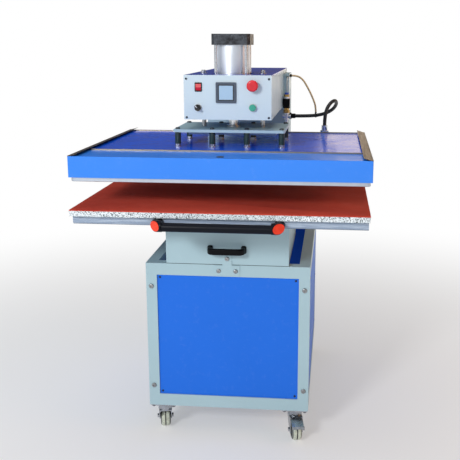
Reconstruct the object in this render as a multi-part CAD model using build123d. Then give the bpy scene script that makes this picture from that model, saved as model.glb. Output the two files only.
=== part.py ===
from build123d import *

import math
import os

# Large-format pneumatic heat press, millimetres. +X is the operator's right, +Y runs from the operator
# to the rear column, +Z is up. Lengths along Y are measured from the front edge of the lower bed, and
# export() moves everything so that the origin is on the floor, at the middle of the footprint.

# ---- driving dimensions -------------------------------------------------------------------------
BED_W = 1000.0            # printable bed, nominal 800 x 1000
BED_D = 800.0
BED_TOP = 920.0           # top of the silicone sheet above the floor
SHEET_T = 3.0
FOAM_T = 19.0
TRAY_H = 32.0
TRAY_IN_X = 5.0           # the tray is this much narrower than the foam, each side
TRAY_IN_Y = 25.0

COVER_W = 1006.0          # sheet-metal cover of the heated platen
COVER_D = 806.0
COVER_Y = 21.0            # its front face
COVER_TOP = 1097.0
COVER_H = 71.0
COVER_SHEET = 1.5
PLATEN_BOTTOM = 1012.0
PLATEN_T = 28.0
PLATEN_IN = 6.0           # platen edge inside the cover
STROKE = 91.0             # travel of the press head, up to 1 mm above the bed
STRIP_W = 32.0            # bare end strips on the cover
STRIP_RISE = 8.0

STAND_W = 602.0
STAND_Y = 224.0
STAND_REAR = 1100.0
STAND_BOTTOM = 117.0
STAND_TOP = 678.0
POST = 40.0
TOP_RAIL_H = 44.0
BOTTOM_RAIL_H = 46.0
TUBE_WALL = 2.5
BEARER_X = 150.0          # inner side of the two bearers under the pedestal and the column

PEDESTAL_W = 447.0
PEDESTAL_TOP = 840.0
PEDESTAL_REAR = 709.0
SLIDE_X = 170.0
SLIDE_W = 24.0
SLIDE_H = 16.0
SLIDE_GAP = 0.4

COLUMN_W = 354.0
COLUMN_Y = 905.0
COLUMN_TOP = 1335.0

BEAM_W = 310.0
BEAM_Y = 265.0
BEAM_REAR = 1121.0
BEAM_BOTTOM = 1199.0
BEAM_TOP = 1354.5
PANEL_T = 3.0
BEAM_WALL = 3.0
ROD_OPENING = 64.0       # square opening in the beam's floor
COVER_PLATE_T = 3.5

HEAD_Y = 420.0            # axis of the cylinder and of the two guide rods
CAP = 140.0               # square end caps of a 125 mm bore tie-rod cylinder
CAP_TOP = 1496.5
CAP_H = 39.0
BARREL_R = 63.0
BORE_R = 59.0
TIE_PITCH = 110.0
ROD_R = 16.0
GUIDE_X = 110.0
GUIDE_R = 8.0
RUNNING = 0.06            # radial clearance of a running fit

PLATE_W = 402.0           # carriage plate that carries the platen
PLATE_Y = 288.0
PLATE_D = 272.0
PLATE_TOP = 1160.5
PLATE_T = 10.0
STANDOFF_X = (-188.5, -62.8, 62.8, 188.5)
STANDOFF_Y = (311.0, 535.0)
STANDOFF_R = 11.0
STUD_R = 6.0
FOOT_H = 10.0              # washer and nut under each standoff

CASTER_X = 250.0
CASTER_IN_Y = 38.0        # swivel axis behind the stand's front face, and before its rear face
WHEEL_R = 40.0
WHEEL_W = 38.0
WHEEL_EDGE = 12.0
TRAIL = 31.0
AXLE_R = 5.0
PEDAL_Y = -34.0           # the brake pedal's pin, in the caster's own frame
PEDAL_Z = 86.5
PEDAL_PIN_R = 2.0
CASTER_TURN = {"front_left": 192.0, "front_right": 12.0, "rear_left": 200.0, "rear_right": 168.0}

TUBE_Y = -24.0            # pull bar of the sliding bed
TUBE_Z = 874.7
TUBE_R = 15.0
ELBOW_Z = 877.5
ELBOW_R = 19.0
ELBOW_X = 203.0
PLUG_R = 17.0
PLUG_PROUD = 1.3

FRONT = TUBE_Y - ELBOW_R
REAR_TURN = math.radians(180 - CASTER_TURN["rear_right"])
REACH = ((TRAIL + WHEEL_R - WHEEL_EDGE) * math.cos(REAR_TURN)
         + (WHEEL_W / 2 - WHEEL_EDGE) * math.sin(REAR_TURN) + WHEEL_EDGE)
BACK = STAND_REAR - CASTER_IN_Y + REACH
MIDDLE = (FRONT + BACK) / 2
MITRE = math.sqrt(0.5)


# ---- helpers ------------------------------------------------------------------------------------
def export(name, *solids):
    """Writes one node, moved to the model's own frame."""
    shape = solids[0] if len(solids) == 1 else Compound(list(solids))
    export_step(Pos(0, -MIDDLE, 0) * shape, f"parts/{name}.step")


def block(x0, x1, y0, y1, z0, z1):
    return Pos((x0 + x1) / 2, (y0 + y1) / 2, (z0 + z1) / 2) * Box(x1 - x0, y1 - y0, z1 - z0)


def rod(start, end, radius):
    """A solid cylinder from one point to another."""
    run = Vector(*end) - Vector(*start)
    plane = Plane(origin=start, z_dir=run)
    return plane * Cylinder(radius, run.length, align=(Align.CENTER, Align.CENTER, Align.MIN))


def hexagon(start, end, across):
    """A hexagonal prism, with its width across flats."""
    run = Vector(*end) - Vector(*start)
    plane = Plane(origin=start, z_dir=run)
    face = plane * RegularPolygon(across / 2, 6, major_radius=False)
    return extrude(face, amount=run.length, dir=run.normalized())


def button_head(centre, way, radius, height):
    """A domed socket screw head that stands on a surface, its socket outwards."""
    head = Cylinder(radius, height, align=(Align.CENTER, Align.CENTER, Align.MIN))
    head = fillet(head.edges().group_by(Axis.Z)[-1], height * 0.6)
    socket = extrude(Pos(0, 0, height * 0.4) * RegularPolygon(radius * 0.42, 6), amount=height)
    return Plane(origin=centre, z_dir=way) * (head - socket)


def lengths(points):
    return [(Vector(*b) - Vector(*a)).length for a, b in zip(points, points[1:])]


def cord(name, points, diameter):
    """A round cord along straight runs joined by tangent arcs."""
    path_points = [Vector(*point) for point in points]
    runs = lengths(points)
    radii = []
    for i in range(1, len(points) - 1):
        before = path_points[i] - path_points[i - 1]
        after = path_points[i + 1] - path_points[i]
        turn = math.radians(before.get_angle(after))
        radii.append(0.45 * min(runs[i - 1], runs[i]) / math.tan(turn / 2))
    path = FilletPolyline(*points, radius=radii)
    plane = Plane(origin=points[0], z_dir=path_points[1] - path_points[0])
    solid = sweep(plane * Circle(diameter / 2), path=path)
    expected = math.pi * diameter ** 2 / 4 * path.length
    print(name, "length", round(path.length, 1), "volume ratio", round(solid.volume / expected, 4))
    print(name, "runs", [round(run) for run in runs], "radii", [round(radius) for radius in radii])
    return solid


def mirrored_x(solid):
    return mirror(solid, about=Plane.YZ)


# ---- stand --------------------------------------------------------------------------------------
def square_tube(x0, x1, y0, y1, z0, z1, along):
    """A rectangular tube, open at both ends; a post keeps a closed top."""
    outer = block(x0, x1, y0, y1, z0, z1)
    w = TUBE_WALL
    if along == "x":
        return outer - block(x0, x1, y0 + w, y1 - w, z0 + w, z1 - w)
    if along == "y":
        return outer - block(x0 + w, x1 - w, y0, y1, z0 + w, z1 - w)
    return outer - block(x0 + w, x1 - w, y0 + w, y1 - w, z0, z1 - w)


def stand_frame():
    half = STAND_W / 2
    inner = half - POST
    top_z = STAND_TOP - TOP_RAIL_H
    low_z = STAND_BOTTOM + BOTTOM_RAIL_H
    members = []
    for x0 in (-half, inner):
        for y0 in (STAND_Y, STAND_REAR - POST):
            members.append(square_tube(x0, x0 + POST, y0, y0 + POST, STAND_BOTTOM, STAND_TOP, "z"))
        for z0, z1 in ((STAND_BOTTOM, low_z), (top_z, STAND_TOP)):
            members.append(square_tube(x0, x0 + POST, STAND_Y + POST, STAND_REAR - POST, z0, z1, "y"))
    for y0 in (STAND_Y, STAND_REAR - POST):
        members.append(square_tube(-inner, inner, y0, y0 + POST, STAND_BOTTOM, low_z, "x"))
    for y0 in (STAND_Y, STAND_REAR - POST):
        members.append(square_tube(-inner, inner, y0, y0 + POST, top_z, STAND_TOP, "x"))
    for x0 in (-BEARER_X - POST, BEARER_X):
        members.append(square_tube(x0, x0 + POST, STAND_Y + POST, STAND_REAR - POST, top_z, STAND_TOP, "y"))
    return members


def stand_panels():
    half = STAND_W / 2
    inner = half - POST
    z0 = STAND_BOTTOM + BOTTOM_RAIL_H
    z1 = STAND_TOP - TOP_RAIL_H
    front = block(-inner, inner, STAND_Y + 5, STAND_Y + 7, z0, z1)
    rear = block(-inner, inner, STAND_REAR - 4, STAND_REAR - 2, z0, z1)
    left = block(-half + 1, -half + 3, STAND_Y + POST, STAND_REAR - POST, z0, z1)
    return [front, rear, left, mirrored_x(left)]


def frame_screws():
    half = STAND_W / 2
    heads = []
    for x in (-282, 282):
        for z in (198, 590):
            heads.append(button_head((x, STAND_Y, z), (0, -1, 0), 9, 5))
            heads.append(button_head((x, STAND_REAR, z), (0, 1, 0), 9, 5))
    for x, z in ((-31, 656), (31, 656), (0, 702)):
        heads.append(button_head((x, STAND_Y - 3, z), (0, -1, 0), 8, 5))
    for side in (-1, 1):
        for y in (STAND_Y + POST + 9, STAND_REAR - POST - 9):
            for z in (174, 400, 624):
                heads.append(button_head((side * (half - 1), y, z), (side, 0, 0), 4, 2.2))
        for z in (174, 624):
            heads.append(button_head((side * 250, STAND_Y + 5, z), (0, -1, 0), 4, 2.2))
            heads.append(button_head((side * 250, STAND_REAR - 2, z), (0, 1, 0), 4, 2.2))
        for z in (BEAM_BOTTOM + 8, BEAM_TOP - 13):
            heads.append(button_head((side * 146, BEAM_Y, z), (0, -1, 0), 4, 2.2))
        for y in (STAND_Y + 13, STAND_Y + 63, STAND_REAR - 63, STAND_REAR - 13):
            for x in (CASTER_X - 38, CASTER_X + 38):
                heads.append(button_head((side * x, y, STAND_BOTTOM - 4), (0, 0, -1), 7.5, 8))
    return heads


def caster_plates():
    plates = []
    for side in (-1, 1):
        for y in (STAND_Y + CASTER_IN_Y, STAND_REAR - CASTER_IN_Y):
            plate = block(side * CASTER_X - 48, side * CASTER_X + 48, y - 38, y + 38,
                          STAND_BOTTOM - 4, STAND_BOTTOM)
            plate = fillet(plate.edges().filter_by(Axis.Z), 8)
            x = side * CASTER_X
            kingpin = rod((x, y, STAND_BOTTOM - 4), (x, y, STAND_BOTTOM - 28), 6)
            plates.append(plate + kingpin)
    return plates


# ---- casters ------------------------------------------------------------------------------------
def caster_place(key):
    """Where a caster's swivel axis meets the floor, and how far it is turned."""
    x = -CASTER_X if "left" in key else CASTER_X
    y = STAND_Y + CASTER_IN_Y if "front" in key else STAND_REAR - CASTER_IN_Y
    return Pos(x, y, 0) * Rot(0, 0, CASTER_TURN[key])


def caster_fork(braked):
    """Fork with its race and axle bolt; the wheel trails towards -Y."""
    top = STAND_BOTTOM - 4 - 0.5
    crown = 89.0
    race = rod((0, 0, crown), (0, 0, top), 27)
    race = race - rod((0, 0, crown - 8), (0, 0, top), 6 + RUNNING)
    race = chamfer(race.edges().group_by(Axis.Z)[-1].sort_by(SortBy.RADIUS)[-1], 4)
    inner = WHEEL_W / 2 + 2
    outline = Polyline((26, crown), (-28, crown), (-30, crown + 2), (-38, crown + 2), (-41, crown - 6),
                       (-TRAIL - 12, WHEEL_R - 6), (-TRAIL - 6, WHEEL_R - 13), (-TRAIL + 6, WHEEL_R - 13),
                       (-TRAIL + 13, WHEEL_R - 4), (26, crown - 16), close=True)
    leg = extrude(Plane.YZ.offset(inner) * make_face(outline), amount=3)
    leg = leg - rod((inner - 1, -TRAIL, WHEEL_R), (inner + 4, -TRAIL, WHEEL_R), AXLE_R)
    top_plate = block(-inner - 3, inner + 3, -27, 26, crown - 4, crown)
    top_plate = top_plate - rod((0, 0, crown - 8), (0, 0, crown), 6 + RUNNING)
    fork = top_plate + leg + mirrored_x(leg) + race
    reach = inner + 3
    axle = rod((-reach - 5, -TRAIL, WHEEL_R), (reach + 5, -TRAIL, WHEEL_R), AXLE_R)
    nut = hexagon((reach, -TRAIL, WHEEL_R), (reach + 8, -TRAIL, WHEEL_R), 15)
    bolt_head = hexagon((-reach - 6, -TRAIL, WHEEL_R), (-reach, -TRAIL, WHEEL_R), 15)
    axle = axle + nut + bolt_head
    if braked:
        pin = rod((-inner, PEDAL_Y, PEDAL_Z), (inner, PEDAL_Y, PEDAL_Z), PEDAL_PIN_R)
        return [fork + pin, axle]
    return [fork, axle]


def caster_wheel():
    wheel = rod((-WHEEL_W / 2, -TRAIL, WHEEL_R), (WHEEL_W / 2, -TRAIL, WHEEL_R), WHEEL_R)
    wheel = fillet(wheel.edges().filter_by(GeomType.CIRCLE), WHEEL_EDGE)
    hub = rod((-WHEEL_W / 2 - 1.5, -TRAIL, WHEEL_R), (WHEEL_W / 2 + 1.5, -TRAIL, WHEEL_R), 11)
    dish = rod((WHEEL_W / 2 - 4, -TRAIL, WHEEL_R), (WHEEL_W / 2 + 1, -TRAIL, WHEEL_R), 25)
    groove = (rod((-1.8, -TRAIL, WHEEL_R), (1.8, -TRAIL, WHEEL_R), WHEEL_R + 1)
              - rod((-1.8, -TRAIL, WHEEL_R), (1.8, -TRAIL, WHEEL_R), WHEEL_R - 2.5))
    wheel = wheel - dish - mirrored_x(dish) - groove + hub
    return wheel - rod((-30, -TRAIL, WHEEL_R), (30, -TRAIL, WHEEL_R), AXLE_R + RUNNING)


def brake_pedal():
    """Sloping foot plate over the wheel, hung on the fork's pin, with a turned-down lip."""
    narrow = WHEEL_W / 2 - 0.2
    wide = WHEEL_W / 2 + 3
    root = Polyline((PEDAL_Y, PEDAL_Z + 4.2), (PEDAL_Y - 14, PEDAL_Z - 1), (PEDAL_Y - 14, PEDAL_Z - 4),
                    (PEDAL_Y, PEDAL_Z + 1), close=True)
    tread = Polyline((PEDAL_Y - 12, PEDAL_Z - 0.3), (PEDAL_Y - 46, PEDAL_Z - 13), (PEDAL_Y - 49, PEDAL_Z - 22),
                     (PEDAL_Y - 46, PEDAL_Z - 22), (PEDAL_Y - 44, PEDAL_Z - 15.5), (PEDAL_Y - 12, PEDAL_Z - 3.5),
                     close=True)
    eye = rod((-narrow, PEDAL_Y, PEDAL_Z), (narrow, PEDAL_Y, PEDAL_Z), 4.2)
    pedal = eye + extrude(Plane.YZ.offset(-narrow) * make_face(root), amount=2 * narrow)
    pedal = pedal + extrude(Plane.YZ.offset(-wide) * make_face(tread), amount=2 * wide)
    return pedal - rod((-narrow - 1, PEDAL_Y, PEDAL_Z), (narrow + 1, PEDAL_Y, PEDAL_Z), PEDAL_PIN_R + RUNNING)


# ---- pedestal and sliding bed -------------------------------------------------------------------
def pedestal_box():
    half = PEDESTAL_W / 2
    outer = block(-half, half, STAND_Y, PEDESTAL_REAR, STAND_TOP, PEDESTAL_TOP)
    outer = fillet(outer.edges().group_by(Axis.Z)[-1].filter_by(Axis.Y), 3)
    return outer - block(-half + 3, half - 3, STAND_Y + 3, PEDESTAL_REAR - 3, STAND_TOP, PEDESTAL_TOP - 3)


def pedestal_handle():
    z = 737.0
    reach = STAND_Y - 38
    points = ((-61, STAND_Y, z), (-61, reach, z), (61, reach, z), (61, STAND_Y, z))
    path = FilletPolyline(*points, radius=16)
    start = Plane(origin=points[0], x_dir=(0, 0, 1), z_dir=(0, -1, 0))
    bar = sweep(start * RectangleRounded(23, 14, 5), path=path)
    for x in (-61, 61):
        foot = block(x - 9.5, x + 9.5, STAND_Y - 5, STAND_Y, z - 14, z + 14)
        bar = bar + fillet(foot.edges().filter_by(Axis.Y), 6)
    return bar


def lock_plate():
    outline = Polyline((-46, 640), (46, 640), (46, 677), (17, 677), (17, 722), (-17, 722),
                       (-17, 677), (-46, 677), close=True)
    return extrude(Plane.XZ.offset(-STAND_Y) * make_face(outline), amount=3)


def slide_rails():
    rail = block(SLIDE_X - SLIDE_W / 2, SLIDE_X + SLIDE_W / 2, STAND_Y + 8, PEDESTAL_REAR - 4,
                 PEDESTAL_TOP, PEDESTAL_TOP + SLIDE_H)
    return [mirrored_x(rail), rail]


def table_runners():
    tray_bottom = BED_TOP - SHEET_T - FOAM_T - TRAY_H
    wide = SLIDE_W / 2 + SLIDE_GAP
    outer = block(SLIDE_X - 20, SLIDE_X + 20, 45, 772, PEDESTAL_TOP + 2, tray_bottom)
    slot = block(SLIDE_X - wide, SLIDE_X + wide, 45, 772, PEDESTAL_TOP + 2, PEDESTAL_TOP + SLIDE_H + SLIDE_GAP)
    runner = outer - slot
    return [mirrored_x(runner), runner]


def table_tray():
    """Welded tray: floor, four walls with a rounded lower edge, and three ribs."""
    half = BED_W / 2 - TRAY_IN_X
    top = BED_TOP - SHEET_T - FOAM_T
    low = top - TRAY_H
    front, rear = TRAY_IN_Y, BED_D - TRAY_IN_Y
    wall = 12
    front_wall = block(-half, half, front, front + wall, low, top)
    front_wall = fillet(front_wall.edges().group_by(Axis.Z)[0].filter_by(Axis.X).sort_by(Axis.Y)[0], 10)
    rear_wall = block(-half, half, rear - wall, rear, low, top)
    rear_wall = fillet(rear_wall.edges().group_by(Axis.Z)[0].filter_by(Axis.X).sort_by(Axis.Y)[-1], 10)
    side = block(half - wall, half, front + wall, rear - wall, low, top)
    side = fillet(side.edges().group_by(Axis.Z)[0].filter_by(Axis.Y).sort_by(Axis.X)[-1], 10)
    floor = block(-half + wall, half - wall, front + wall, rear - wall, low, low + 3)
    ribs = [block(-half + wall, half - wall, y - 10, y + 10, low + 3, top) for y in (210, 400, 590)]
    return [front_wall, rear_wall, mirrored_x(side), side, floor] + ribs


def foam_pad():
    return block(-BED_W / 2, BED_W / 2, 0, BED_D, BED_TOP - SHEET_T - FOAM_T, BED_TOP - SHEET_T)


def silicone_sheet():
    return block(-BED_W / 2, BED_W / 2, 0, BED_D, BED_TOP - SHEET_T, BED_TOP)


def handle_tube():
    bar = rod((-183, TUBE_Y, TUBE_Z), (183, TUBE_Y, TUBE_Z), TUBE_R)
    return bar - rod((-183, TUBE_Y, TUBE_Z), (183, TUBE_Y, TUBE_Z), TUBE_R - 2)


def mitre_cutter(depth):
    """Half space outside the 45 degree face of the right-hand elbow, moved inwards by depth."""
    plane = Plane(origin=(ELBOW_X, TUBE_Y, ELBOW_Z), z_dir=(MITRE, -MITRE, 0))
    return plane * Pos(0, 0, 60 - depth) * Box(160, 160, 120)


def handle_elbow(radius, outside):
    """Elbow of two round legs, cut off at 45 degrees; outside moves the cut."""
    along_x = rod((180, TUBE_Y, ELBOW_Z), (ELBOW_X + 60, TUBE_Y, ELBOW_Z), radius)
    along_y = rod((ELBOW_X, TUBE_Y - 60, ELBOW_Z), (ELBOW_X, TRAY_IN_Y, ELBOW_Z), radius)
    cutter = mitre_cutter(-outside)
    return (along_x - cutter) + (along_y - cutter)


def handle_end_plug():
    """Moulded plug let into the elbow's cut face, standing a little proud."""
    return handle_elbow(PLUG_R, PLUG_PROUD) & mitre_cutter(2.5)


def handle_brackets():
    socket = rod((176, TUBE_Y, TUBE_Z), (183, TUBE_Y, TUBE_Z), TUBE_R)
    bracket = handle_elbow(ELBOW_R, 0) - socket - handle_end_plug()
    return [mirrored_x(bracket), bracket]


def handle_end_caps():
    cap = handle_end_plug()
    return [mirrored_x(cap), cap]


# ---- column and beam ----------------------------------------------------------------------------
def rear_column():
    half = COLUMN_W / 2
    trunk = block(-half, half, COLUMN_Y, STAND_REAR - 5, STAND_TOP, BEAM_BOTTOM)
    trunk = trunk - block(-half + 6, half - 6, COLUMN_Y + 6, STAND_REAR - 11, STAND_TOP, BEAM_BOTTOM - 8)
    cheek = block(BEAM_W / 2, half, COLUMN_Y, STAND_REAR - 5, BEAM_BOTTOM, COLUMN_TOP)
    return trunk + cheek + mirrored_x(cheek)


def beam_floor():
    """Four plates around the square opening that the piston rod comes down through."""
    half = BEAM_W / 2
    gap = ROD_OPENING / 2
    low, high = BEAM_BOTTOM, BEAM_BOTTOM + BEAM_WALL
    side = block(gap, half, HEAD_Y - gap, HEAD_Y + gap, low, high)
    side = side - rod((GUIDE_X, HEAD_Y, low - 1), (GUIDE_X, HEAD_Y, high + 1), GUIDE_R + 5)
    front = block(-half, half, BEAM_Y + PANEL_T, HEAD_Y - gap, low, high)
    back = block(-half, half, HEAD_Y + gap, BEAM_REAR, low, high)
    return [front, back, side, mirrored_x(side)]


def beam_shell():
    """Welded beam: floor, two sides, rear wall, and the plate that the cylinder stands on."""
    half = BEAM_W / 2
    front = BEAM_Y + PANEL_T
    top = BEAM_TOP - COVER_PLATE_T
    wall = BEAM_WALL
    seat = BEAM_TOP - 14 - CAP_H
    side = block(half - wall, half, front, BEAM_REAR, BEAM_BOTTOM + wall, top)
    rear = block(-half + wall, half - wall, BEAM_REAR - wall, BEAM_REAR, BEAM_BOTTOM + wall, top)
    plate = block(-half + wall, half - wall, HEAD_Y - 90, HEAD_Y + 90, seat - 16, seat)
    bores = rod((0, HEAD_Y, seat - 17), (0, HEAD_Y, seat + 1), ROD_R + 1)
    for x in (-GUIDE_X, GUIDE_X):
        bores = bores + rod((x, HEAD_Y, seat - 17), (x, HEAD_Y, seat + 1), GUIDE_R + 5)
    return beam_floor() + [mirrored_x(side), side, rear, plate - bores]


def beam_top_cover():
    half = BEAM_W / 2
    sheet = block(-half, half, BEAM_Y + PANEL_T, BEAM_REAR, BEAM_TOP - COVER_PLATE_T, BEAM_TOP)
    opening = CAP / 2 + 1
    sheet = sheet - block(-opening, opening, HEAD_Y - opening, HEAD_Y + opening, BEAM_TOP - 9, BEAM_TOP + 1)
    for x in (-GUIDE_X, GUIDE_X):
        sheet = sheet - rod((x, HEAD_Y, BEAM_TOP - 9), (x, HEAD_Y, BEAM_TOP + 1), GUIDE_R + 5)
    return sheet


ROCKER_AT = (-103.0, 1313.0)
DISPLAY_AT = (-5.0, 1294.0)
ESTOP_AT = (90.0, 1319.0)
START_AT = (89.0, 1242.5)
SELECTOR_AT = (-105.0, 1241.0)
DISPLAY = 72.0
ROCKER_W = 19.0
ROCKER_H = 25.0


def front_block(at, width, height, y0, y1):
    return block(at[0] - width / 2, at[0] + width / 2, y0, y1, at[1] - height / 2, at[1] + height / 2)


def front_rod(at, radius, y0, y1):
    return rod((at[0], y0, at[1]), (at[0], y1, at[1]), radius)


def control_panel():
    half = BEAM_W / 2
    panel = block(-half, half, BEAM_Y, BEAM_Y + PANEL_T, BEAM_BOTTOM, BEAM_TOP)
    panel = panel - front_block(ROCKER_AT, 22, 28, BEAM_Y - 1, BEAM_Y + 5)
    panel = panel - front_block(DISPLAY_AT, DISPLAY - 4, DISPLAY - 4, BEAM_Y - 1, BEAM_Y + 5)
    for at in (ESTOP_AT, START_AT, SELECTOR_AT):
        panel = panel - front_rod(at, 11, BEAM_Y - 1, BEAM_Y + 5)
    return panel


def control_bezels():
    """Rocker switch housing, selector ring, start button ring and emergency stop collar."""
    rocker = front_block(ROCKER_AT, 25.5, 31.5, BEAM_Y - 3, BEAM_Y)
    rocker = fillet(rocker.edges().filter_by(Axis.Y), 2)
    rocker = rocker + front_block(ROCKER_AT, 22, 28, BEAM_Y, BEAM_Y + 26)
    rocker = rocker - front_block(ROCKER_AT, ROCKER_W + 1, ROCKER_H + 1, BEAM_Y - 4, BEAM_Y + 14)
    selector = front_rod(SELECTOR_AT, 13, BEAM_Y - 3, BEAM_Y) + front_rod(SELECTOR_AT, 11, BEAM_Y, BEAM_Y + 24)
    selector = selector - front_rod(SELECTOR_AT, 4 + RUNNING, BEAM_Y - 4, BEAM_Y + 20)
    start = front_rod(START_AT, 14, BEAM_Y - 4, BEAM_Y) + front_rod(START_AT, 11, BEAM_Y, BEAM_Y + 28)
    start = start - front_rod(START_AT, 10, BEAM_Y - 5, BEAM_Y + 8)
    collar = front_rod(ESTOP_AT, 15, BEAM_Y - 10, BEAM_Y) + front_rod(ESTOP_AT, 11, BEAM_Y, BEAM_Y + 32)
    collar = collar - front_rod(ESTOP_AT, 6 + RUNNING, BEAM_Y - 11, BEAM_Y + 24)
    return [rocker, selector, start, collar]


def touch_display():
    bezel = front_block(DISPLAY_AT, DISPLAY, DISPLAY, BEAM_Y - 5, BEAM_Y)
    bezel = fillet(bezel.edges().filter_by(Axis.Y), 3)
    bezel = bezel + front_block(DISPLAY_AT, DISPLAY - 4, DISPLAY - 4, BEAM_Y, BEAM_Y + 40)
    screen_size = 49.0
    bezel = bezel - front_block(DISPLAY_AT, screen_size, screen_size, BEAM_Y - 6, BEAM_Y - 3.5)
    screen = front_block(DISPLAY_AT, screen_size, screen_size, BEAM_Y - 4.2, BEAM_Y - 3.5)
    return [bezel, screen]


def power_rocker():
    """Rocker paddle, pivoted across its middle and tipped to its on side."""
    x = ROCKER_AT[0]
    outline = Polyline((-7, 0), (-3.5, 11.5), (3, 11.5), (6, 4), (6, -4), (3, -11.5), (-3.5, -11.5), close=True)
    paddle = extrude(Plane.YZ.offset(-ROCKER_W / 2) * make_face(outline), amount=ROCKER_W)
    return Pos(x, BEAM_Y + 2, ROCKER_AT[1]) * Rot(9, 0, 0) * paddle


def selector_knob():
    """Black knob with a raised pointer bar, standing at its upper left stop."""
    knob = rod((0, -20, 0), (0, -4, 0), 11.5)
    knob = knob - block(-13, -4, -21, -9, -13, 13) - block(4, 13, -21, -9, -13, 13)
    knob = knob + rod((0, -8, 0), (0, 14, 0), 4)
    return Pos(SELECTOR_AT[0], BEAM_Y, SELECTOR_AT[1]) * Rot(0, -45, 0) * knob


def start_button():
    cap = front_rod(START_AT, 12, BEAM_Y - 13, BEAM_Y - 7.5)
    cap = fillet(cap.edges().sort_by(Axis.Y)[0], 2)
    return cap + front_rod(START_AT, 9.7, BEAM_Y - 7.5, BEAM_Y + 3)


def estop_plunger():
    return front_rod(ESTOP_AT, 6, BEAM_Y - 25, BEAM_Y + 18)


def estop_head():
    """Red mushroom head on the plunger."""
    head = front_rod(ESTOP_AT, 20, BEAM_Y - 32, BEAM_Y - 17)
    head = fillet(head.edges().filter_by(GeomType.CIRCLE).sort_by(Axis.Y)[0], 6)
    neck = front_rod(ESTOP_AT, 11, BEAM_Y - 18, BEAM_Y - 15.2)
    return head + neck - front_rod(ESTOP_AT, 6 + RUNNING, BEAM_Y - 25.1, BEAM_Y - 15)


# ---- cylinder -----------------------------------------------------------------------------------
def cylinder_caps():
    half = CAP / 2
    z_low = BEAM_TOP - 14 - CAP_H
    caps = []
    for z in (z_low, CAP_TOP - CAP_H):
        cap = block(-half, half, HEAD_Y - half, HEAD_Y + half, z, z + CAP_H)
        caps.append(chamfer(cap.edges().filter_by(Axis.Z), 11))
    caps[0] = caps[0] - rod((0, HEAD_Y, z_low - 1), (0, HEAD_Y, z_low + CAP_H + 1), ROD_R + RUNNING)
    return caps


def cylinder_barrel():
    z0 = BEAM_TOP - 14
    z1 = CAP_TOP - CAP_H
    return rod((0, HEAD_Y, z0), (0, HEAD_Y, z1), BARREL_R) - rod((0, HEAD_Y, z0), (0, HEAD_Y, z1), BORE_R)


def cylinder_tie_rods():
    half = TIE_PITCH / 2
    z0 = BEAM_TOP - 14
    z1 = CAP_TOP - CAP_H
    return [rod((x, HEAD_Y + y, z0), (x, HEAD_Y + y, z1), 6) for x in (-half, half) for y in (-half, half)]


def guide_bushes():
    bushes = []
    for x in (-GUIDE_X, GUIDE_X):
        bush = rod((x, HEAD_Y, BEAM_BOTTOM - 3), (x, HEAD_Y, BEAM_TOP + 3), GUIDE_R + 5)
        bushes.append(bush - rod((x, HEAD_Y, BEAM_BOTTOM - 4), (x, HEAD_Y, BEAM_TOP + 4), GUIDE_R + RUNNING))
    return bushes


# ---- press head ---------------------------------------------------------------------------------
def piston_rod():
    """Rod and piston, with the screwed flange that holds the rod to the carriage plate."""
    piston_top = CAP_TOP - CAP_H - 1
    shaft = rod((0, HEAD_Y, PLATE_TOP), (0, HEAD_Y, piston_top - 22), ROD_R)
    piston = rod((0, HEAD_Y, piston_top - 22), (0, HEAD_Y, piston_top), BORE_R - 0.1)
    flange = rod((0, HEAD_Y, PLATE_TOP), (0, HEAD_Y, PLATE_TOP + 7), 24)
    flange = chamfer(flange.edges().group_by(Axis.Z)[-1], 2)
    flange = flange - rod((0, HEAD_Y, PLATE_TOP), (0, HEAD_Y, PLATE_TOP + 8), ROD_R)
    return [shaft + piston, flange]


def guide_rods():
    rods = []
    for x in (-GUIDE_X, GUIDE_X):
        shaft = rod((x, HEAD_Y, PLATE_TOP), (x, HEAD_Y, BEAM_TOP + 13), GUIDE_R)
        rods.append(chamfer(shaft.edges().group_by(Axis.Z)[-1], 1.5))
    return rods


def stud_holes(shape, z0, z1, radius):
    for x in STANDOFF_X:
        for y in STANDOFF_Y:
            shape = shape - rod((x, y, z0), (x, y, z1), radius)
    return shape


def carriage_plate():
    half = PLATE_W / 2
    plate = block(-half, half, PLATE_Y, PLATE_Y + PLATE_D, PLATE_TOP - PLATE_T, PLATE_TOP)
    plate = chamfer(plate.edges().filter_by(Axis.Z), 5)
    return stud_holes(plate, PLATE_TOP - PLATE_T - 1, PLATE_TOP + 1, STUD_R)


def stiffener_bar():
    z1 = PLATE_TOP - PLATE_T
    return block(-163, 163, HEAD_Y - 37, HEAD_Y + 37, z1 - 18, z1)


def standoffs():
    z0 = COVER_TOP + FOOT_H
    z1 = PLATE_TOP - PLATE_T
    tubes = []
    for x in STANDOFF_X:
        for y in STANDOFF_Y:
            tubes.append(rod((x, y, z0), (x, y, z1), STANDOFF_R) - rod((x, y, z0), (x, y, z1), STUD_R))
    return tubes


def standoff_hardware():
    """Studs from the platen up into the carriage plate: washer and nut below, domed head above."""
    pieces = []
    platen_top = PLATEN_BOTTOM + PLATEN_T
    for x in STANDOFF_X:
        for y in STANDOFF_Y:
            stud = rod((x, y, platen_top), (x, y, PLATE_TOP), STUD_R)
            washer = rod((x, y, COVER_TOP), (x, y, COVER_TOP + 2.5), 12)
            foot_nut = hexagon((x, y, COVER_TOP + 2.5), (x, y, COVER_TOP + FOOT_H), 19)
            head = button_head((x, y, PLATE_TOP), (0, 0, 1), 8.5, 5.5)
            pieces.append(stud + washer + foot_nut + head)
    return pieces


def cover_shell():
    half = COVER_W / 2
    rear = COVER_Y + COVER_D
    low = COVER_TOP - COVER_H
    shell = block(-half, half, COVER_Y, rear, low, COVER_TOP)
    shell = fillet(shell.edges().filter_by(Axis.Z), 3)
    s = COVER_SHEET
    return shell - block(-half + s, half - s, COVER_Y + s, rear - s, low, COVER_TOP - s)


SEAM_Y = (175.0, 781.0)


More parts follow.
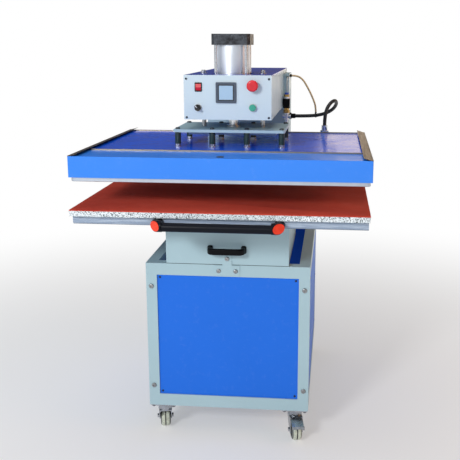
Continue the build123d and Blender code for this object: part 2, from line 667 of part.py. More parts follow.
def platen_cover_margins():
    """Front and rear folded sheets of the cover, up to the two seams."""
    far = COVER_W
    front = cover_shell() & block(-far, far, COVER_Y - 1, SEAM_Y[0], 0, COVER_TOP + 1)
    rear = cover_shell() & block(-far, far, SEAM_Y[1], COVER_Y + COVER_D + 1, 0, COVER_TOP + 1)
    return [front, rear]


def platen_cover_top():
    """Middle sheet of the cover, folded down at both ends."""
    far = COVER_W
    middle = cover_shell() & block(-far, far, SEAM_Y[0], SEAM_Y[1], 0, COVER_TOP + 1)
    return stud_holes(middle, COVER_TOP - 5, COVER_TOP + 1, STUD_R)


def cover_trim_strips():
    """Two upright seam strips across the cover, and a sloping bare strip at each end."""
    half = COVER_W / 2
    inner = half - STRIP_W
    seams = [block(-inner - 1, inner + 1, y - 2, y + 2, COVER_TOP, COVER_TOP + 5) for y in SEAM_Y]
    t = 1.5
    outline = Polyline((half, COVER_TOP), (half - 5, COVER_TOP), (inner, COVER_TOP + STRIP_RISE),
                       (inner, COVER_TOP + STRIP_RISE + t), (half - 5, COVER_TOP + t), (half, COVER_TOP + t),
                       close=True)
    start = COVER_Y + 1
    end = extrude(Plane.XZ.offset(-start) * make_face(outline), amount=-(COVER_D - 2))
    return seams + [mirrored_x(end), end]


def heater_platen():
    half = COVER_W / 2 - PLATEN_IN
    platen = block(-half, half, COVER_Y + PLATEN_IN, COVER_Y + COVER_D - PLATEN_IN,
                   PLATEN_BOTTOM, PLATEN_BOTTOM + PLATEN_T)
    platen = fillet(platen.edges().filter_by(Axis.Z), 12)
    return chamfer(platen.edges().group_by(Axis.Z)[0], 1.5)


def heating_elements():
    """Three tubular heaters, each a long hairpin lying on the platen."""
    z = PLATEN_BOTTOM + PLATEN_T + 5
    hairpins = []
    for y in (85, 365, 625):
        points = ((440, y, z), (-440, y, z), (-440, y + 115, z), (440, y + 115, z))
        path = FilletPolyline(*points, radius=45)
        start = Plane(origin=points[0], z_dir=(-1, 0, 0))
        hairpins.append(sweep(start * Circle(5), path=path))
    return hairpins


def insulation_blanket():
    z1 = COVER_TOP - COVER_SHEET - 1
    half = COVER_W / 2 - 12
    blanket = block(-half, half, COVER_Y + 12, COVER_Y + COVER_D - 12, z1 - 38, z1)
    return stud_holes(blanket, z1 - 40, z1 + 1, STUD_R + 0.5)


# ---- air, cables --------------------------------------------------------------------------------
STACK_X = 172.0
STACK_Y = 848.0


def stack_rod(z0, z1, radius):
    return rod((STACK_X, STACK_Y, z0), (STACK_X, STACK_Y, z1), radius)


def air_valve():
    """Solenoid valve body on its foot, fixed to the front of the column."""
    body = block(STACK_X - 14, STACK_X + 14, STACK_Y - 17, STACK_Y + 17, 1195, 1235)
    body = fillet(body.edges().filter_by(Axis.Z), 3)
    foot = block(COLUMN_W / 2 - 20, COLUMN_W / 2, STACK_Y + 15, COLUMN_Y, 1203, 1227)
    return body + foot


def air_fittings():
    """Push-in elbow above the valve; nipple, tee and coupler plug below it."""
    ring = stack_rod(1235, 1242.5, 16) - stack_rod(1235, 1242.5, 7) + stack_rod(1235, 1242.5, 7)
    hex_top = hexagon((STACK_X, STACK_Y, 1242.5), (STACK_X, STACK_Y, 1252), 20)
    collar = stack_rod(1252, 1260, 9)
    nipple = hexagon((STACK_X, STACK_Y, 1174), (STACK_X, STACK_Y, 1186), 24) + stack_rod(1186, 1195, 10)
    tee = stack_rod(1145, 1174, 9) + rod((STACK_X - 17, STACK_Y, 1159), (STACK_X + 17, STACK_Y, 1159), 8)
    plug = stack_rod(1122, 1145, 6)
    plug = chamfer(plug.edges().group_by(Axis.Z)[0], 1)
    return [ring, hex_top, collar, nipple, tee, plug]


def column_glands():
    """Heater cable gland, sensor lead grommet and air tube elbow seat on the column."""
    x = COLUMN_W / 2
    gland = hexagon((x, 985, 1149), (x + 9, 985, 1149), 24) + rod((x + 9, 985, 1149), (x + 26, 985, 1149), 10.5)
    grommet = rod((x, 985, 1325), (x + 8, 985, 1325), 6.5)
    seat = rod((STACK_X, COLUMN_Y - 8, 1321), (STACK_X, COLUMN_Y, 1321), 4.8)
    return [gland, grommet, seat]


def platen_gland():
    foot = hexagon((335, 803, COVER_TOP), (335, 803, COVER_TOP + 10), 30)
    return foot + rod((335, 803, COVER_TOP + 10), (335, 803, COVER_TOP + 31), 12.5)


HEATER_CABLE_D = 15.0
HEATER_CABLE = ((203, 985, 1149), (264, 985, 1149), (322, 974, 1157), (364, 953, 1178), (384, 918, 1207),
                (379, 876, 1228), (360, 838, 1222), (342, 811, 1196), (335, 803, 1160), (335, 803, 1128))
SENSOR_LEAD_D = 8.0
SENSOR_LEAD = ((185, 985, 1325), (210, 985, 1325), (235, 981, 1308), (254, 976, 1278), (270, 974, 1248),
               (283, 974, 1219), (292, 975, 1193), (293, 977.5, 1168))
AIR_TUBE_D = 6.0
AIR_TUBE = ((172, 848, 1260), (172, 848, 1284), (172, 858, 1306), (172, 877, 1321), (172, 897, 1321))


def cable_tie():
    """Tie round the heater cable, with the head that the sensor lead enters."""
    before = Vector(*HEATER_CABLE[1])
    after = Vector(*HEATER_CABLE[2])
    way = (after - before).normalized()
    middle = (before + after) / 2
    start = tuple(middle - way * 2.5)
    end = tuple(middle + way * 2.5)
    inside = HEATER_CABLE_D / 2
    band = rod(start, end, inside + 2) - rod(start, end, inside)
    lead_way = (Vector(*SENSOR_LEAD[-1]) - Vector(*SENSOR_LEAD[-2])).normalized()
    seat = Plane(origin=SENSOR_LEAD[-1], x_dir=(1, 0, 0), z_dir=lead_way)
    head = seat * Pos(0, 0, 2.5) * Box(8, 8, 5)
    return band + (head - rod(start, end, inside))


# ---- write the nodes ----------------------------------------------------------------------------
def main():
    os.makedirs("parts", exist_ok=True)
    export("stand_frame", *stand_frame())
    export("stand_panels", *stand_panels())
    export("frame_screws", *frame_screws())
    export("caster_plates", *caster_plates())
    for key in CASTER_TURN:
        place = caster_place(key)
        braked = "front" in key
        export(f"caster_fork_{key}", *[place * solid for solid in caster_fork(braked)])
        export(f"caster_wheel_{key}", place * caster_wheel())
        if braked:
            export(f"brake_pedal_{key}", place * brake_pedal())
    export("pedestal_box", pedestal_box())
    export("pedestal_handle", pedestal_handle())
    export("lock_plate", lock_plate())
    export("slide_rails", *slide_rails())
    export("table_runners", *table_runners())
    export("table_tray", *table_tray())
    export("foam_pad", foam_pad())
    export("silicone_sheet", silicone_sheet())
    export("handle_tube", handle_tube())
    export("handle_brackets", *handle_brackets())
    export("handle_end_caps", *handle_end_caps())
    export("rear_column", rear_column())
    export("beam_shell", *beam_shell())
    export("beam_top_cover", beam_top_cover())
    export("control_panel", control_panel())
    export("control_bezels", *control_bezels())
    export("touch_display", *touch_display())
    export("power_rocker", power_rocker())
    export("selector_knob", selector_knob())
    export("start_button", start_button())
    export("estop_plunger", estop_plunger())
    export("estop_head", estop_head())
    export("cylinder_caps", *cylinder_caps())
    export("cylinder_barrel", cylinder_barrel())
    export("cylinder_tie_rods", *cylinder_tie_rods())
    export("guide_bushes", *guide_bushes())
    export("piston_rod", *piston_rod())
    export("guide_rods", *guide_rods())
    export("carriage_plate", carriage_plate())
    export("stiffener_bar", stiffener_bar())
    export("standoffs", *standoffs())
    export("standoff_hardware", *standoff_hardware())
    export("platen_cover_margins", *platen_cover_margins())
    export("platen_cover_top", platen_cover_top())
    export("cover_trim_strips", *cover_trim_strips())
    export("heater_platen", heater_platen())
    export("heating_elements", *heating_elements())
    export("insulation_blanket", insulation_blanket())
    export("air_valve", air_valve())
    export("air_fittings", *air_fittings())
    export("column_glands", *column_glands())
    export("platen_gland", platen_gland())
    export("heater_cable", cord("heater_cable", HEATER_CABLE, HEATER_CABLE_D))
    export("sensor_lead", cord("sensor_lead", SENSOR_LEAD, SENSOR_LEAD_D))
    export("air_tube", cord("air_tube", AIR_TUBE, AIR_TUBE_D))
    export("cable_tie", cable_tie())


main()
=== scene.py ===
import math

import bpy
from mathutils import Matrix, Vector, noise


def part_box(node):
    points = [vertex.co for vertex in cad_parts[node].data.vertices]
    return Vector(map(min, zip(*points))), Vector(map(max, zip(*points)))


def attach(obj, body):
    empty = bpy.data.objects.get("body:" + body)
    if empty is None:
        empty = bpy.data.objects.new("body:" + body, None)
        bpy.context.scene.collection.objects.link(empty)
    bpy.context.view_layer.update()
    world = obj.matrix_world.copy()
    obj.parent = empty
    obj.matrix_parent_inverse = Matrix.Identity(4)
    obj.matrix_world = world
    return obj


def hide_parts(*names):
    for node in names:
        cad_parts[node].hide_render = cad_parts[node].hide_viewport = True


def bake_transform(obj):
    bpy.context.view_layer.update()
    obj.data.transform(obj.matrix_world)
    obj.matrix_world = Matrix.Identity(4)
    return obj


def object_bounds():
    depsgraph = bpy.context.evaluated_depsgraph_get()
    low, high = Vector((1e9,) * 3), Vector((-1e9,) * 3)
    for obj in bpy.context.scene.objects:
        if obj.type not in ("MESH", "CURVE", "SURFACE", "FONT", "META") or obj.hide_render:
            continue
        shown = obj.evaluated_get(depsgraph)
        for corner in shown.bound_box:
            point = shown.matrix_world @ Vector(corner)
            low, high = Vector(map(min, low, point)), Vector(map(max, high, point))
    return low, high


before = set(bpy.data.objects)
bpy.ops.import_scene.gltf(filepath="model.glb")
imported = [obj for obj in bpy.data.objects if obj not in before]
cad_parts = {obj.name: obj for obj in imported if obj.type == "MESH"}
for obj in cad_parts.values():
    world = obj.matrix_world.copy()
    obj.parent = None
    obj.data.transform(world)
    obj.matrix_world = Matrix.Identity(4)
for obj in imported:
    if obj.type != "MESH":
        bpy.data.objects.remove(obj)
cad_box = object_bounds()
scene = bpy.context.scene

# The bed's front edge in the frame: lengths along Y are easier to read from there.
Y0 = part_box("silicone_sheet")[0].y


def at(x, y, z):
    """A point given in millimetres, with Y from the bed's front edge."""
    return Vector((x / 1000, y / 1000 + Y0, z / 1000))


# ---- camera ---------------------------------------------------------------------------------------
EYE = at(373.45, -2408.9, 1463.7)
YAW, PITCH, ROLL = -0.09233, 0.21481, 0.00253
SENSOR, LENS = 36.0, 59.677826      # millimetres
SHIFT = (-0.07156522, -0.04436957)  # shares of the frame's width

ahead = Vector((math.sin(YAW) * math.cos(PITCH), math.cos(YAW) * math.cos(PITCH), -math.sin(PITCH)))
right = Vector((math.cos(YAW), -math.sin(YAW), 0))
above = right.cross(ahead)
side = right * math.cos(ROLL) + above * math.sin(ROLL)
up = above * math.cos(ROLL) - right * math.sin(ROLL)
lens = bpy.data.cameras.new("camera")
camera = bpy.data.objects.new("camera", lens)
scene.collection.objects.link(camera)
turn = Matrix((side, up, -ahead)).transposed().to_4x4()
camera.matrix_world = Matrix.Translation(EYE) @ turn
lens.sensor_width = SENSOR
lens.lens = LENS
lens.shift_x, lens.shift_y = SHIFT
lens.clip_start, lens.clip_end = 0.05, 100.0
scene.camera = camera
scene.view_settings.view_transform = "Standard"


# ---- node-tree helpers ----------------------------------------------------------------------------
SHADES = {}


class Shade:
    """A Principled material with the few node patterns used here, all in object space, in metres.

    SHADES keeps every one under its name.
    """

    def __init__(self, name, colour, roughness=0.5, metallic=0.0):
        SHADES[name] = self
        self.material = bpy.data.materials.new(name)
        self.material.use_nodes = True
        self.tree = self.material.node_tree
        self.shader = self.tree.nodes["Principled BSDF"]
        self.shader.inputs["Base Color"].default_value = (*colour, 1)
        self.shader.inputs["Roughness"].default_value = roughness
        self.shader.inputs["Metallic"].default_value = metallic
        self.colour = (*colour, 1)
        self.space = self.node("ShaderNodeTexCoord").outputs["Object"]
        self.normal = None

    def node(self, kind, **values):
        """A new node with these properties set."""
        made = self.tree.nodes.new(kind)
        for key, value in values.items():
            setattr(made, key, value)
        return made

    def link(self, a, b):
        self.tree.links.new(a, b)

    def put(self, socket, value):
        """Sets one input of the Principled shader."""
        self.shader.inputs[socket].default_value = value
        return self

    def stretched(self, scale):
        """The pattern's space, scaled by a factor along each axis."""
        mapping = self.node("ShaderNodeMapping")
        mapping.inputs["Scale"].default_value = scale
        self.link(self.space, mapping.inputs["Vector"])
        return mapping.outputs["Vector"]

    def noise(self, scale, detail=3.0, rough=0.55, stretch=None):
        """A cloudy pattern from 0 to 1, stretched along the axes with small factors."""
        tex = self.node("ShaderNodeTexNoise")
        tex.inputs["Scale"].default_value = scale
        tex.inputs["Detail"].default_value = detail
        tex.inputs["Roughness"].default_value = rough
        self.link(self.stretched(stretch) if stretch else self.space, tex.inputs["Vector"])
        return tex.outputs["Fac"]

    def cells(self, scale):
        """Distance to the nearest of many scattered points."""
        tex = self.node("ShaderNodeTexVoronoi", feature="F1")
        tex.inputs["Scale"].default_value = scale
        self.link(self.space, tex.inputs["Vector"])
        return tex.outputs["Distance"]

    def ramp(self, value, *stops):
        """Maps value through (position, number) stops."""
        made = self.node("ShaderNodeValToRGB")
        marks = made.color_ramp.elements
        while len(marks) < len(stops):
            marks.new(0.5)
        for mark, (place, number) in zip(marks, stops):
            mark.position = place
            mark.color = (number, number, number, 1)
        self.link(value, made.inputs["Fac"])
        return made.outputs["Color"]

    def math(self, kind, a, b=0.0):
        made = self.node("ShaderNodeMath", operation=kind)
        for socket, value in zip(made.inputs, (a, b)):
            if isinstance(value, (int, float)):
                socket.default_value = value
            else:
                self.link(value, socket)
        return made.outputs["Value"]

    def blend(self, share, a, b):
        """Colour a where share is 0 and b where it is 1."""
        mix = self.node("ShaderNodeMix", data_type="RGBA")
        for socket, value in ((mix.inputs[0], share), (mix.inputs[6], a), (mix.inputs[7], b)):
            if isinstance(value, (tuple, float, int)):
                socket.default_value = value if isinstance(value, (float, int)) else (*value[:3], 1)
            else:
                self.link(value, socket)
        return mix.outputs[2]

    def paint_over(self, share, colour):
        """Puts another colour over what is there, by a share from a pattern."""
        socket = self.shader.inputs["Base Color"]
        below = socket.links[0].from_socket if socket.links else self.colour
        self.link(self.blend(share, below, colour), socket)
        return self

    def rough(self, value, low, high):
        """Roughness that follows a pattern between two numbers."""
        self.link(self.ramp(value, (0.3, low), (0.7, high)), self.shader.inputs["Roughness"])
        return self

    def bump(self, height, depth, strength=0.5):
        """Adds relief, with depth in metres."""
        made = self.node("ShaderNodeBump")
        made.inputs["Strength"].default_value = strength
        made.inputs["Distance"].default_value = depth
        self.link(height, made.inputs["Height"])
        if self.normal:
            self.link(self.normal, made.inputs["Normal"])
        self.normal = made.outputs["Normal"]
        self.link(self.normal, self.shader.inputs["Normal"])
        return self

    def axis(self, letter):
        """One coordinate, in metres."""
        split = self.node("ShaderNodeSeparateXYZ")
        self.link(self.space, split.inputs["Vector"])
        return split.outputs[letter]

    def step(self, letter, edge, width=0.0002):
        """0 below an edge along an axis and 1 above it, in metres in the frame."""
        made = self.node("ShaderNodeMapRange")
        made.inputs["From Min"].default_value = edge - width
        made.inputs["From Max"].default_value = edge + width
        self.link(self.axis(letter), made.inputs["Value"])
        return made.outputs["Result"]

    def inside(self, *limits):
        """1 inside a box given as (letter, low, high) triples."""
        share = 1.0
        for letter, low, high in limits:
            band = self.math("SUBTRACT", self.step(letter, low), self.step(letter, high))
            share = self.math("MULTIPLY", share, band)
        return share


def shade(value):
    """An sRGB colour from 0 to 255, as linear."""
    return tuple(((v / 255 + 0.055) / 1.055) ** 2.4 if v > 10 else v / 255 / 12.92 for v in value)


# ---- materials ------------------------------------------------------------------------------------
def enamel(name, colour, roughness, grime=0.12, coat=0.25):
    """Sprayed enamel: faint orange peel, cloudy tone, fine dust and a few scuffs."""
    s = Shade(name, shade(colour), roughness)
    s.put("Coat Weight", coat).put("Coat Roughness", 0.12)
    dark = tuple(v * (1 - grime) for v in shade(colour))
    pale = tuple(v * (1 - 0.06) + 0.06 for v in shade(colour))
    s.paint_over(s.ramp(s.noise(2.2, 4), (0.35, 0.0), (0.75, 1.0)), dark)
    s.paint_over(s.math("MULTIPLY", s.ramp(s.noise(38, 5, 0.7), (0.55, 0.0), (0.8, 1.0)), 0.5), pale)
    scuffs = s.ramp(s.noise(60, 4, 0.75, (1, 1, 0.12)), (0.66, 0.0), (0.72, 1.0))
    s.paint_over(s.math("MULTIPLY", scuffs, 0.35), pale)
    s.rough(s.noise(14, 4), roughness - 0.06, roughness + 0.08)
    s.bump(s.noise(420, 2), 0.00035, 0.35)
    return s


def bare_metal(name, colour, roughness, lines=(1, 1, 60), smear=0.2):
    """Bright metal with a directional finish and cloudy handling marks."""
    s = Shade(name, shade(colour), roughness, 1.0)
    dark = tuple(v * (1 - smear) for v in shade(colour))
    s.paint_over(s.ramp(s.noise(22, 5, 0.6), (0.35, 0.0), (0.7, 1.0)), dark)
    grain = s.noise(30, 3, 0.6, lines)
    s.rough(grain, max(0.05, roughness - 0.08), roughness + 0.12)
    s.bump(grain, 0.00012, 0.3)
    return s


def moulded(name, colour, roughness=0.45):
    """Moulded plastic with a fine eroded texture."""
    s = Shade(name, shade(colour), roughness)
    s.paint_over(s.ramp(s.noise(55, 4), (0.4, 0.0), (0.8, 1.0)), tuple(v * 0.8 for v in shade(colour)))
    s.rough(s.noise(90, 3), roughness - 0.08, roughness + 0.08)
    s.bump(s.noise(1400, 2), 0.0001, 0.35)
    return s


FRAME_COLOUR = (168, 196, 205)

enamel("frame_paint", FRAME_COLOUR, 0.42, 0.08, 0.12)
enamel("blue_paint", (30, 110, 224), 0.46, 0.06, 0.02).put("Specular IOR Level", 0.2)
enamel("cover_paint", (38, 130, 240), 0.34, 0.05, 0.1)
enamel("cover_top_paint", (12, 94, 240), 0.18, 0.05, 0.12)
enamel("beam_top_paint", (22, 66, 190), 0.3, 0.08, 0.3)
enamel("panel_paint", (196, 214, 224), 0.45, 0.06, 0.15)
enamel("standoff_paint", (16, 50, 44), 0.35, 0.3)
moulded("powder_black", (5, 9, 21), 0.4).put("Specular IOR Level", 0.16)
bare_metal("zinc", (184, 188, 194), 0.26, (3, 3, 3), 0.45)
bare_metal("nut_zinc", (186, 188, 192), 0.26, (8, 8, 8), 0.3)
bare_metal("chrome", (214, 217, 222), 0.14, (1, 1, 40), 0.1)
bare_metal("barrel", (222, 228, 236), 0.42, (1, 1, 0.3), 0.05)
bare_metal("platen", (192, 200, 212), 0.4, (0.05, 1, 12), 0.12)
bare_metal("heater_tube", (96, 92, 88), 0.5, (6, 6, 6), 0.4)
moulded("black_plastic", (6, 7, 11), 0.36).put("Specular IOR Level", 0.12)
moulded("tie_plastic", (32, 32, 34), 0.5)
moulded("red_plastic", (214, 30, 44), 0.32)
moulded("green_plastic", (52, 164, 138), 0.36)
moulded("orange_plastic", (246, 58, 18), 0.34).put("Specular IOR Level", 0.25)
moulded("clear_tube", (186, 196, 198), 0.2)
moulded("grommet_rubber", (44, 42, 40), 0.6)


def pedestal_paint():
    """The frame's enamel, with a painted shadow line along the pedestal's foot where it meets the rail."""
    s = enamel("pedestal_paint", FRAME_COLOUR, 0.42, 0.08, 0.12)
    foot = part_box("pedestal_box")[0].z
    # Painted shade: a dark band standing in for the shadowed gap between the pedestal and the rail.
    gap_shade_line = s.math("MULTIPLY", s.inside(("Z", foot - 0.001, foot + 0.0024)), 0.9)
    return s.paint_over(gap_shade_line, shade((40, 54, 58)))


def tray_paint():
    """Thin paint over rolled sheet: pale and dark streaks along it, and painted shade along its lower edge.
    """
    s = enamel("tray_paint", (142, 159, 182), 0.4, 0.12, 0.08)
    streaks = s.noise(26, 4, 0.65, (0.35, 0.35, 9))
    s.paint_over(s.ramp(streaks, (0.46, 0.0), (0.6, 0.75)), shade((182, 196, 212)))
    stains = s.noise(40, 4, 0.7, (0.25, 0.25, 8))
    s.paint_over(s.ramp(stains, (0.56, 0.0), (0.7, 0.6)), shade((116, 132, 156)))
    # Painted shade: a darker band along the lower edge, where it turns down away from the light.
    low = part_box("table_tray")[0].z
    edge = s.math("MULTIPLY", s.inside(("Z", low - 0.001, low + 0.0032)), 0.85)
    return s.paint_over(edge, shade((84, 98, 120)))


def cast_cap():
    """Dark anodised casting with a mottled, worn surface."""
    s = Shade("cast_cap", shade((66, 70, 76)), 0.42, 0.6)
    s.paint_over(s.ramp(s.noise(45, 6, 0.7), (0.45, 0.0), (0.62, 1.0)), shade((26, 27, 31)))
    s.paint_over(s.ramp(s.noise(160, 5, 0.8), (0.6, 0.0), (0.7, 0.8)), shade((136, 138, 144)))
    s.rough(s.noise(60, 4), 0.3, 0.6)
    return s.bump(s.noise(260, 4), 0.0004, 0.5)


def red_silicone():
    """Silicone sheet: matt, with a fine cloth mark pressed into it and faint stains from use."""
    s = Shade("red_silicone", shade((206, 80, 62)), 0.85)
    s.put("Specular IOR Level", 0.16)
    s.paint_over(s.ramp(s.noise(3, 4), (0.35, 0.0), (0.7, 1.0)), shade((176, 56, 42)))
    lint = s.math("MULTIPLY", s.ramp(s.noise(500, 2), (0.5, 0.0), (0.75, 1.0)), 0.3)
    s.paint_over(lint, shade((204, 88, 70)))
    weave = s.node("ShaderNodeTexWave", wave_type="BANDS", bands_direction="X")
    weft = s.node("ShaderNodeTexWave", wave_type="BANDS", bands_direction="Y")
    for tex in (weave, weft):
        tex.inputs["Scale"].default_value = 160
        s.link(s.space, tex.inputs["Vector"])
    s.bump(s.math("ADD", weave.outputs["Fac"], weft.outputs["Fac"]), 0.0002, 0.4)
    return s.rough(s.noise(30, 4), 0.8, 0.95)


def speckled_sponge():
    """Pale sponge pressed from crumb: grey and black flecks in a white ground, with open pores."""
    s = Shade("speckled_sponge", shade((238, 246, 250)), 0.9)
    s.put("Specular IOR Level", 0.2)
    s.paint_over(s.ramp(s.noise(60, 4), (0.4, 0.0), (0.7, 1.0)), shade((210, 222, 228)))
    crumbs = ((170, 0.63, (120, 132, 136)), (230, 0.62, (48, 56, 58)), (400, 0.63, (16, 20, 22)))
    for scale, edge, tone in crumbs:
        flecks = s.ramp(s.noise(scale, 2, 0.6), (edge - 0.04, 0.0), (edge + 0.01, 1.0))
        s.paint_over(flecks, shade(tone))
    s.bump(s.cells(260), 0.0012, 0.6)
    return s


def cable_rubber():
    """Black sheath, dusty in patches, with a fine grain."""
    s = Shade("cable_rubber", shade((24, 24, 26)), 0.5)
    s.paint_over(s.ramp(s.noise(90, 5, 0.7), (0.5, 0.0), (0.8, 1.0)), shade((52, 50, 50)))
    s.bump(s.noise(600, 3), 0.0003, 0.5)
    return s.rough(s.noise(60, 3), 0.4, 0.62)


def braid():
    """Glass braid over a lead: a fine diagonal lattice of tan yarns."""
    s = Shade("lead_braid", shade((226, 200, 154)), 0.6)
    for tilt in (0.7, -0.7):
        turn_by = s.node("ShaderNodeMapping")
        turn_by.inputs["Rotation"].default_value = (0, tilt, tilt)
        s.link(s.space, turn_by.inputs["Vector"])
        wave = s.node("ShaderNodeTexWave", wave_type="BANDS", bands_direction="X")
        wave.inputs["Scale"].default_value = 170
        s.link(turn_by.outputs["Vector"], wave.inputs["Vector"])
        s.paint_over(s.ramp(wave.outputs["Fac"], (0.05, 0.65), (0.3, 0.0)), shade((184, 152, 104)))
        s.bump(wave.outputs["Fac"], 0.0004, 0.5)
    return s


def wool_cloth():
    """Glass-cloth face of the insulation blanket."""
    s = Shade("blanket_cloth", shade((222, 216, 196)), 0.9)
    s.paint_over(s.ramp(s.noise(12, 5), (0.4, 0.0), (0.7, 1.0)), shade((196, 184, 156)))
    return s.bump(s.noise(700, 3), 0.0006, 0.6)


def display_face():
    """Slate bezel with a softly lit, empty screen."""
    low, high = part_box("touch_display")
    cx, cz = (low.x + high.x) / 2, (low.z + high.z) / 2
    half = 0.0245
    s = moulded("display_face", (66, 78, 94), 0.4)
    screen = s.inside(("X", cx - half, cx + half), ("Z", cz - half, cz + half))
    rise = s.ramp(s.axis("Z"), (0.0, 0.0), (1.0, 1.0))
    glow = s.blend(rise, shade((150, 182, 208)), shade((164, 194, 218)))
    socket = s.shader.inputs["Base Color"]
    s.link(s.blend(screen, socket.links[0].from_socket, glow), socket)
    rim = s.inside(("X", cx - half - 0.004, cx + half + 0.004), ("Z", cz - half - 0.004, cz + half + 0.004))
    edge = s.math("SUBTRACT", rim, screen)
    s.paint_over(edge, shade((30, 38, 48)))
    socket = s.shader.inputs["Roughness"]
    s.link(s.blend(screen, socket.links[0].from_socket, (0.12, 0.12, 0.12)), socket)
    return s


def bezel_parts():
    """Black rocker housing, bright rings for the selector and the button, dark red stop collar."""
    s = moulded("bezel_parts", (20, 20, 22), 0.38)
    mid_z = (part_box("selector_knob")[1].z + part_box("power_rocker")[0].z) / 2
    low = s.inside(("Z", 0.0, mid_z))
    s.paint_over(low, shade((196, 198, 202)))
    s.link(s.math("MULTIPLY", low, 0.9), s.shader.inputs["Metallic"])
    collar = s.inside(("Z", mid_z, 2.0), ("X", 0.05, 0.2))
    return s.paint_over(collar, shade((120, 20, 24)))


def fittings():
    """Blue push-in collar, brass nuts, bright ring, tee and plug, told apart by height."""
    lower_nut = (1.1741, 1.2)
    upper_nut = (1.2426, 1.2521)
    above_nuts = (1.2521, 1.4)
    s = bare_metal("fittings", (226, 228, 232), 0.3, (3, 3, 3), 0.15)
    s.paint_over(s.inside(("Z", *upper_nut)), shade((196, 158, 92)))
    s.paint_over(s.inside(("Z", *lower_nut)), shade((190, 150, 84)))
    collar = s.inside(("Z", *above_nuts))
    s.paint_over(collar, shade((30, 84, 190)))
    s.link(s.math("SUBTRACT", 1.0, collar), s.shader.inputs["Metallic"])
    return s


def knob_black():
    """Black knob with a white line along its pointer bar."""
    low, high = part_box("selector_knob")
    s = moulded("knob_black", (20, 20, 22), 0.35)
    along = s.node("ShaderNodeMapping", vector_type="TEXTURE")
    along.inputs["Location"].default_value = ((low.x + high.x) / 2, 0, (low.z + high.z) / 2)
    along.inputs["Rotation"].default_value = (0, math.radians(-45), 0)
    s.link(s.space, along.inputs["Vector"])
    s.space = along.outputs["Vector"]
    mark = s.inside(("X", -0.0009, 0.0009), ("Z", 0.002, 0.0105), ("Y", -1.0, low.y + 0.002))
    return s.paint_over(mark, shade((230, 232, 234)))


def strips():
    """Bare seam strips across the cover, and browner bare strips along its two ends."""
    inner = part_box("cover_trim_strips")[1].x - 0.0325
    s = bare_metal("trim_strips", (122, 108, 94), 0.38, (12, 0.2, 12), 0.4)
    s.paint_over(s.inside(("X", -inner, inner)), shade((160, 150, 134)))
    pits = s.ramp(s.cells(190), (0.18, 1.0), (0.26, 0.0))
    ends = s.math("SUBTRACT", 1.0, s.inside(("X", -inner, inner)))
    s.paint_over(s.math("MULTIPLY", s.math("MULTIPLY", pits, ends), 0.5), shade((52, 46, 42)))
    return s


def bolt_heads():
    """Zinc socket heads on the stand; the small sheet screws on the fronts are blackened, and the caster
    bolts carry painted shade.
    """
    control_panel = (1.19, 1.36)
    front_panel = (0.15, 0.64)
    caster_bolts = (0.09, 0.125)
    panel_half = 0.262
    s = bare_metal("bolt_heads", (172, 174, 176), 0.3, (6, 6, 6), 0.3)
    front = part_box("frame_screws")[0].y
    on_front = s.inside(("Z", *front_panel), ("X", -panel_half, panel_half), ("Y", front, front + 0.02))
    s.paint_over(s.math("ADD", s.inside(("Z", *control_panel)), on_front), shade((58, 62, 72)))
    # Painted shade: the bolts under the stand's rail, at the casters, are painted darker for the rail's
    # shadow.
    s.paint_over(s.inside(("Z", *caster_bolts)), shade((96, 100, 108)))
    return s


def standoff_hardware():
    """Bright washers and nuts under the standoffs; blackened domed heads on the plate."""
    domed_heads = (1.155, 1.2)
    s = bare_metal("standoff_hardware", (198, 200, 204), 0.26, (8, 8, 8), 0.3)
    return s.paint_over(s.inside(("Z", *domed_heads)), shade((84, 88, 94)))


def wheel_tread(corner, turned_by):
    """Pale nylon wheel: painted shade in the groove where its halves meet and on the flanks, dirt on the
    tread.
    """
    low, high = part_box("caster_wheel_" + corner)
    s = moulded("wheel_" + corner, (206, 212, 194), 0.42)
    hub = s.node("ShaderNodeMapping", vector_type="TEXTURE")
    hub.inputs["Location"].default_value = ((low.x + high.x) / 2, (low.y + high.y) / 2, 0)
    hub.inputs["Rotation"].default_value = (0, 0, turned_by)
    s.link(s.space, hub.inputs["Vector"])
    s.space = hub.outputs["Vector"]
    dirt = s.ramp(s.noise(120, 5, 0.75, (3, 1, 1)), (0.5, 0.0), (0.68, 0.75))
    s.paint_over(dirt, shade((120, 124, 114)))
    groove_half, tread_half = 0.0022, 0.0145
    # Painted shade: the groove between the halves and the flanks beside the fork are painted dark.
    s.paint_over(s.inside(("X", -groove_half, groove_half)), shade((44, 46, 44)))
    shaded_flanks = s.math("SUBTRACT", 1.0, s.inside(("X", -tread_half, tread_half)))
    s.paint_over(shaded_flanks, shade((92, 96, 92)))
    return s


for make in (pedestal_paint, tray_paint, cast_cap, red_silicone, speckled_sponge, cable_rubber, braid,
             wool_cloth, display_face, bezel_parts, fittings, knob_black, strips, bolt_heads,
             standoff_hardware):
    make()

# Degrees that each caster is turned about its pin at rest.
CASTER_TURN = {"front_left": 192, "front_right": 12, "rear_left": 200, "rear_right": 168}
for corner, turned_by in CASTER_TURN.items():
    wheel_tread(corner, math.radians(turned_by))

